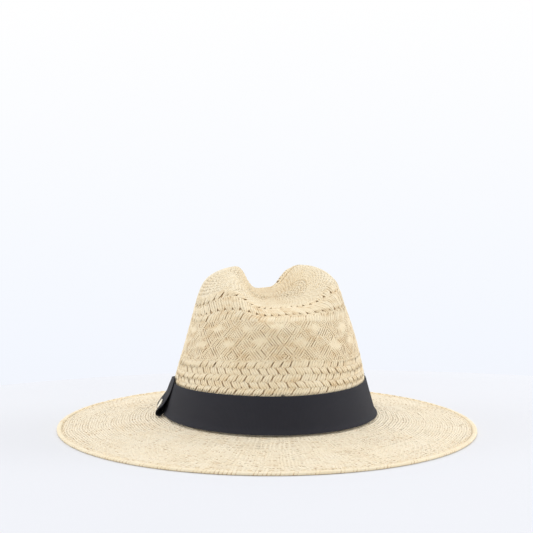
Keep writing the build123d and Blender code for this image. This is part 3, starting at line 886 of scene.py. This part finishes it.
def ribbon_band():
    """The grosgrain band: ribs run across it, both selvedges are a little thicker, and its foot flares."""
    outer = [(2.22, 13.45, 0.3), (2.35, 13.75, 0.5), (1.98, 14.6, 1), (1.45, 16.0, 1), (0.98, 17.6, 1)]
    outer += [(0.90, z, 1) for z in np.linspace(20.0, 38.5, 6)]
    outer += [(0.97, 40.6, 0.8), (0.93, 41.35, 0.4), (0.62, RIBBON_TOP, 0.2)]
    inner = [(0.30, 41.4, 0), (0.20, 38.0, 0), (0.18, 28.0, 0), (0.18, 18.0, 0)]
    inner += [(0.75, 15.6, 0), (1.55, 13.5, 0)]

    def wave(t, z):
        top = smooth(z, 34.0, RIBBON_TOP)
        foot = 1 - smooth(z, 13.0, 20.0)
        return 0.10 * top * RIBBON_WAVE(t, 0.0 * z) + 0.10 * foot * RIBBON_WAVE(t + 1.0, 0.0 * z)

    return wall_band(outer + inner, 4 * RIBBON_RIBS, RIBBON_RIBS, 0.045, wave, band_dip)


RIBBON_RIBS, TAPE_RIBS = 506, 310
RIBBON_WAVE = ripples(6, 31, 14, 1)


KEEPER_WIDTH, KEEPER_Y = 25.0, 4.0
KEEPER_TURN, KEEPER_PIVOT = 2.0, 82.86  # degrees, and how far from the crown's middle the turn's axis is
KEEPER_FLARE, KEEPER_DROP, KEEPER_SLANT, KEEPER_SWELL = 3.0, 0.9, 2.2, 0.9
KEEPER_STEPS, KEEPER_ROWS, KEEPER_ROUNDING = 150, 33, 60
KEEPER_HALF_THICK, KEEPER_RIB = 0.36, 0.04
KEEPER_SECTION = [  # distance off the wall, height
    (1.65, 42.2), (1.65, 38.0), (1.8, 33.8), (2.3, 29.8), (3.6, 25.5),
    (5.2, 21.5), (6.5, 17.8), (6.9, 15.6), (5.9, 14.0), (4.2, 13.4), (1.9, 13.5),
]


def keeper_middle(x, z, y):
    """Where the points (x, z) of the keeper's plain section lie at the distance y along the band."""
    # the rear edge comes in to lie on the band
    in_by = smooth(y, 8.5, 12.0)
    wall = -wall_axes(z)[0] * math.sqrt(1 - ((y + KEEPER_Y) / 100.0) ** 2) - 0.95 + 0.035 * y
    middle = x * (1 - in_by) + np.maximum(x, wall) * in_by
    # behind the badge it swells
    swell = smooth(y, -1.0, 4.0) * (1 - smooth(y, 9.0, 12.4))
    middle = middle - KEEPER_SWELL * swell * smooth(z, 15.5, 20.0) * (1 - smooth(z, 22.5, 29.0))
    # the front edge flares and drops a little at its foot, and the top edge slants
    flare = smooth(-y, -1.0, 12.5) * (1 - smooth(z, 15.5, 21.5))
    drop = KEEPER_DROP * smooth(-y, -8.0, 12.5) * (1 - smooth(z, 13.5, 18.5))
    slant = KEEPER_SLANT * smooth(y, -6.0, 12.5) * smooth(z, 34.0, 42.5)
    return middle - KEEPER_FLARE * flare, z - drop - slant


def keeper_loop():
    """A short length of the same ribbon stands over the band. Its rear edge turns in against the band."""
    off, height = np.array(KEEPER_SECTION).T
    line = np.stack([-wall_axes(height)[0] - off, height], -1)
    run = lengths_along(line)
    share = np.linspace(0, run[-1], KEEPER_STEPS)
    fine = np.stack([np.interp(share, run, line[:, k]) for k in (0, 1)], -1)
    for _ in range(KEEPER_ROUNDING):
        fine[1:-1] = (fine[:-2] + fine[2:] + 2 * fine[1:-1]) / 4
    along = np.gradient(fine, axis=0)
    out = unit(np.stack([-along[:, 1], along[:, 0]], -1))
    out *= np.sign(-out[:1, :1])
    y = np.linspace(-KEEPER_WIDTH / 2, KEEPER_WIDTH / 2, KEEPER_ROWS)
    rib = KEEPER_RIB * np.cos(TAU * share / RIBBON_PITCH)
    faces = []
    for side in (1, -1):
        rows = []
        for y_one in y:
            edge = smooth(abs(y_one), KEEPER_WIDTH / 2 - 0.5, KEEPER_WIDTH / 2)
            thick = side * (KEEPER_HALF_THICK * (1 - 0.45 * edge) + rib)
            x, z = keeper_middle(fine[:, 0], fine[:, 1], y_one)
            rows.append(stacked(x + out[:, 0] * thick, y_one, z + out[:, 1] * thick))
        faces += rows[::side]
    points = np.stack(faces, 1)
    turn = math.radians(KEEPER_TURN)
    x, y_all = points[..., 0] + KEEPER_PIVOT, points[..., 1].copy()
    points[..., 0] = x * math.cos(turn) - y_all * math.sin(turn) + SHIFT - KEEPER_PIVOT
    points[..., 1] = x * math.sin(turn) + y_all * math.cos(turn) + KEEPER_Y
    return strip_cloth(points, share, y)


def sweatband():
    """Ribbed cotton tape inside the crown. Its lower edge turns under the headline."""
    face = [(-2.30, 11.65, 0.2), (-2.42, 12.2, 0.6)] + [(-2.42, z, 1) for z in np.linspace(13.6, 36.6, 8)]
    face += [(-2.40, 37.7, 0.5), (-2.15, 38.0, 0.1)]
    back = [(-1.85, 37.95, 0), (-1.72, 36.5, 0), (-1.70, 25.0, 0), (-1.70, 13.5, 0), (-1.80, 11.7, 0)]

    def wave(t, z):
        return 0.05 * RIBBON_WAVE(t + 2.0, 0.0 * z) * smooth(z, 30.0, 38.0)

    return wall_band(face + back, 4 * TAPE_RIBS, TAPE_RIBS, -0.05, wave)


LABEL_HALF_WIDTH, LABEL_HALF_HEIGHT = 11, 15
LABEL_GAP, LABEL_HALF_THICK = 0.32, 0.13
LABEL_LIFT, LABEL_CURL = 0.9, 0.25
LABEL_LEAN = 15.64  # degrees: how much the crown's back wall leans
LABEL_Y, LABEL_Z = 90.6, 28.8
LABEL_STEPS, LABEL_COLUMNS = 26, 17


def care_label():
    """A blank folded strip of satin inside the sweatband, at the back. Its front leaf lifts a little."""
    down = np.linspace(0, 1, LABEL_STEPS)
    fold = np.linspace(-math.pi / 2, math.pi / 2, 9)[1:-1]
    gap = np.full(LABEL_STEPS, LABEL_GAP)
    height = LABEL_HALF_HEIGHT * (1 - 2 * down)
    back = np.stack([gap, height], -1)
    front = np.stack([-gap - LABEL_LIFT * down**2.2, -height], -1)
    bend = np.stack([-LABEL_GAP * np.sin(fold), -LABEL_HALF_HEIGHT - LABEL_GAP * np.cos(fold)], -1)
    line = np.concatenate([back, bend, front])
    along = np.gradient(line, axis=0)
    out = unit(np.stack([along[:, 1], -along[:, 0]], -1))
    x = np.linspace(-LABEL_HALF_WIDTH, LABEL_HALF_WIDTH, LABEL_COLUMNS)
    curl = LABEL_CURL * (x / LABEL_HALF_WIDTH) ** 2
    faces = []
    for side in (1, -1):
        face = line + side * LABEL_HALF_THICK * out
        rows = [stacked(a, face[:, 0] + c, face[:, 1]) for a, c in zip(x, curl)]
        faces += rows[::side]
    points = np.stack(faces, 1)
    lean = math.radians(LABEL_LEAN)
    y, z = points[..., 1].copy(), points[..., 2].copy()
    points[..., 0] += SHIFT
    points[..., 1] = LABEL_Y + y * math.cos(lean) - z * math.sin(lean)
    points[..., 2] = LABEL_Z + y * math.sin(lean) + z * math.cos(lean)
    return strip_cloth(points, lengths_along(line), x)


add_cloth(
    "ribbon_band_cloth", ribbon_band(), RIBBON_CLOTH, "ribbon_band",
)
add_cloth(
    "ribbon_keeper_cloth", keeper_loop(), RIBBON_CLOTH, "ribbon_keeper",
)
add_cloth(
    "sweatband_tape", sweatband(), COTTON_TAPE, "sweatband",
)
add_cloth(
    "care_label_satin", care_label(), SATIN, "care_label",
)


# ---- the rolled edge
EDGE_WRAPS, WRAP_POINTS, ROUND_POINTS = 330, 8, 14
EDGE_SLANT = 1.1
EDGE_OFF, EDGE_Z = 1.75, 1.32  # the roll's middle, out from the brim's edge and up from the floor
EDGE_HALF_WIDTH, EDGE_HALF_HEIGHT = 2.25, 1.50
EDGE_SQUARE = 0.8
EDGE_GRAIN = 172.0  # mm round the edge for each radian
NOTCHED = 0.42  # share of the wraps with a notch beside them
EDGE_DEPTH = np.random.default_rng(5).random(EDGE_WRAPS) < NOTCHED
EDGE_DEPTH = EDGE_DEPTH * np.random.default_rng(8).uniform(0.4, 1, EDGE_WRAPS)
EDGE_FULL = np.random.default_rng(6).random(EDGE_WRAPS)
EDGE_WAVE = ripples(8, 41, 60, 1)


def edge_roll():
    """The straw folded over the wire and overcast: a slim roll of slanting wraps, some with a notch."""
    n = EDGE_WRAPS * WRAP_POINTS
    t = angles(n).T
    turn = angles(ROUND_POINTS)
    # turn 0 points out of the hat, a quarter turn points up
    slant = EDGE_WRAPS * t - EDGE_SLANT * np.sin(turn)
    groove = np.abs(np.cos(slant / 2)) ** 0.6
    wrap = np.floor(slant / TAU + 0.5).astype(int) % EDGE_WRAPS
    deep = EDGE_DEPTH[wrap]
    shape = 0.84 + (0.045 + 0.14 * deep) * (groove - 0.75) + 0.06 * (EDGE_FULL[wrap] - 0.5)
    reach, rise = np.cos(turn), np.sin(turn)
    off = EDGE_OFF + EDGE_HALF_WIDTH * np.sign(reach) * np.abs(reach) ** EDGE_SQUARE * shape
    z = EDGE_Z + EDGE_HALF_HEIGHT * np.sign(rise) * np.abs(rise) ** EDGE_SQUARE * shape
    z = np.maximum(z + 0.10 * EDGE_WAVE(t, 0.0 * turn) * np.maximum(rise, 0), 0.02)
    half, length = BRIM_OUT[0] + off, BRIM_OUT[1] + off
    points = stacked(half * np.cos(t), length * np.sin(t), z)
    quads, uv = closed_sheet(points)
    # painted shade: the roll's underside, the grooves between wraps and the notches take a darker tone and
    # more painted shade at the edges, for the shade that falls there
    under = smooth(-rise + 0.0 * t, -0.55, 0.5) * smooth(reach, -0.4, 0.4)
    tone = 0.08 + 0.24 * under + 0.2 * (0.75 - groove) + 0.1 * deep
    edge = np.clip(0.45 + 0.1 * (0.85 - groove) + 0.6 * deep * (1 - groove) + 0.08 * under, 0, 1)
    grain = stacked(t * EDGE_GRAIN + turn * 0.8, turn * 2.0, wrap * 7.3)
    values = {"tone": tone, "edge": edge}
    points = points.reshape(-1, 3)
    mesh = make_mesh("brim_edge_straw", points, quads[:, ::-1], uv[:, ::-1], values, {"grain": grain})
    add_piece("brim_edge_straw", mesh, STRAW_EDGE, "brim_edge_roll")


edge_roll()


# ---- thread and metal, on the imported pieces
THREAD_SCALE = (2600.0, 2600.0, 2600.0)
WIRE_BRUSH, PLATE_BRUSH = (300.0, 300.0, 900.0), (250.0, 900.0, 250.0)


def thread_material(name, dark, light):
    material, tree = new_material(name, Roughness=0.7, Sheen_Weight=0.2)
    fibre = tree.noise(tree.place(), THREAD_SCALE, 3.0)
    tree.paint(tree.ramp(fibre, [(0.25, dark), (0.75, light)]))
    tree.bump(fibre, 0.6, 0.0001)
    return material


def metal_material(name, dark, light, rough, brush):
    material, tree = new_material(name, Metallic=1.0)
    brushed = tree.noise(tree.place(), brush, 3.0)
    tree.paint(tree.ramp(brushed, [(0.3, dark), (0.7, light)]))
    tree.paint(tree.scaled(brushed, 0.15, rough - 0.07), "Roughness")
    tree.bump(brushed, 0.15, 0.00005)
    return material


STRAW_THREAD = thread_material("straw_thread", (0.80, 0.66, 0.44), (0.93, 0.82, 0.62))
RIBBON_THREAD = thread_material("ribbon_thread", (0.018, 0.018, 0.021), (0.035, 0.036, 0.041))
STEEL = metal_material("wire_steel", (0.45, 0.45, 0.46), (0.62, 0.62, 0.64), 0.35, WIRE_BRUSH)
BRASS = metal_material("ferrule_brass", (0.62, 0.50, 0.26), (0.80, 0.68, 0.40), 0.32, WIRE_BRUSH)
BADGE = metal_material("badge_pale_gold", (0.90, 0.84, 0.68), (0.98, 0.94, 0.84), 0.30, PLATE_BRUSH)
for node, material in (
    ("brim_wire", STEEL), ("brim_wire_ferrule", BRASS), ("brim_edge_stitches", STRAW_THREAD),
    ("headline_stitches", STRAW_THREAD), ("ribbon_tacks", RIBBON_THREAD), ("badge_plate", BADGE),
):
    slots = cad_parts[node].data.materials
    slots.clear()
    slots.append(material)


# ---- floor, light and camera
TABLE_X, TABLE_Y, TABLE_RADIUS = 0.027, -0.255, 0.54
TABLE_THICK, TABLE_ROUND = 0.024, 0.004
TABLE_SIDES, ROUND_STEPS = 256, 4
TABLE_COLOUR = (0.79, 0.80, 0.835)
CLOUD_SCALE = (3.0, 3.0, 3.0)


def stage_floor():
    """A round white table top, whose far edge shows a little above the brim."""
    outline = [(0.0, 0.0), (0.2, 0.0), (0.4, 0.0), (0.5, 0.0)]
    flat = TABLE_RADIUS - TABLE_ROUND
    for k in range(ROUND_STEPS + 1):
        turn = k * math.pi / (2 * ROUND_STEPS)
        outline.append((flat + TABLE_ROUND * math.sin(turn), -TABLE_ROUND + TABLE_ROUND * math.cos(turn)))
    outline += [(TABLE_RADIUS, -TABLE_THICK + TABLE_ROUND), (flat, -TABLE_THICK), (0.0, -TABLE_THICK)]
    turns = [TAU * k / TABLE_SIDES for k in range(TABLE_SIDES)]
    circle = [(math.cos(turn), math.sin(turn)) for turn in turns]
    verts = [(TABLE_X + radius * x, TABLE_Y + radius * y, z) for radius, z in outline for x, y in circle]
    faces = []
    for ring in range(len(outline) - 1):
        for k in range(TABLE_SIDES):
            a, b = ring * TABLE_SIDES + k, ring * TABLE_SIDES + (k + 1) % TABLE_SIDES
            faces.append((a, a + TABLE_SIDES, b + TABLE_SIDES, b))
    mesh = bpy.data.meshes.new("table_top")
    mesh.from_pydata(verts, [], faces)
    mesh.shade_smooth()
    floor = new_object("table_top", mesh)
    material, tree = new_material("table_paint", Roughness=0.8, Specular_IOR_Level=0.0)
    lighter = tuple(c * 1.01 for c in TABLE_COLOUR)
    cloud = tree.noise(tree.place(), CLOUD_SCALE, 1.0)
    tree.paint(tree.ramp(cloud, [(0.3, TABLE_COLOUR), (0.7, lighter)]))
    mesh.materials.append(material)


# (half of the direction's height plus one half, colour)
SKY_RAMP = [
    (0.40, (0.88, 0.905, 0.97)), (0.425, (0.905, 0.935, 1.0)),
    (0.506, (1.0, 1.0, 1.0)), (0.70, (0.985, 0.99, 1.0)),
]
SKY_FRONT, SKY_TOP = 0.9, 0.1
LAMPS = [
    ("top_lamp", (0.0, 0.1, 2.0), 1.5, 7.0),
    ("right_lamp", (1.7, 0.1, 0.6), 1.0, 6.2),
    ("left_lamp", (-1.7, 0.1, 0.6), 1.0, 3.2),
]
LAMP_AIM = Vector((0, 0, 0.05))


def aim(thing, place, gaze):
    thing.location = place
    thing.rotation_mode = "QUATERNION"
    thing.rotation_quaternion = gaze.to_track_quat("-Z", "Y")


def studio_light():
    """An even pale sky, brighter overhead and a little darker high up in front, and large soft lamps."""
    world = bpy.data.worlds.new("studio")
    bpy.context.scene.world = world
    tree = Shading(world)
    axes = tree.axes(tree.place("Generated"))
    level = tree.scaled(axes["Z"], 0.5, 0.5)
    tree.paint(tree.ramp(level, SKY_RAMP), "Color")
    high = tree.scaled(axes["Z"], 3.5, -1.0, clamp=True)
    front = tree.maths("MINIMUM", tree.maths("MULTIPLY", axes["Y"], SKY_FRONT), 0.0)
    change = tree.scaled(axes["Z"], SKY_TOP, front)
    tree.paint(tree.scaled(change, high, 1.0), "Strength")
    for name, place, size, power in LAMPS:
        light = bpy.data.lights.new(name, "AREA")
        light.energy = power
        light.size = size
        aim(new_object(name, light), place, LAMP_AIM - Vector(place))


CAMERA_DISTANCE, CAMERA_RISE, CAMERA_TURN, CAMERA_PITCH = 1.697, 10.76, -6.0, 6.48
CAMERA_LIFT = 0.0017
CAMERA_VIEW, SENSOR_WIDTH = 14.30, 36.0


def make_camera():
    rise, turn, pitch = (math.radians(x) for x in (CAMERA_RISE, CAMERA_TURN, CAMERA_PITCH))
    data = bpy.data.cameras.new("camera")
    data.sensor_width = SENSOR_WIDTH
    data.lens = SENSOR_WIDTH / 2 / math.tan(math.radians(CAMERA_VIEW / 2))
    camera = new_object("camera", data)
    flat = CAMERA_DISTANCE * math.cos(rise)
    height = CAMERA_DISTANCE * math.sin(rise) + CAMERA_LIFT
    gaze = Vector((-math.sin(turn) * math.cos(pitch), math.cos(turn) * math.cos(pitch), -math.sin(pitch)))
    aim(camera, (math.sin(turn) * flat, -math.cos(turn) * flat, height), gaze)
    bpy.context.scene.camera = camera


stage_floor()
studio_light()
make_camera()
bpy.context.scene.view_settings.view_transform = "Standard"
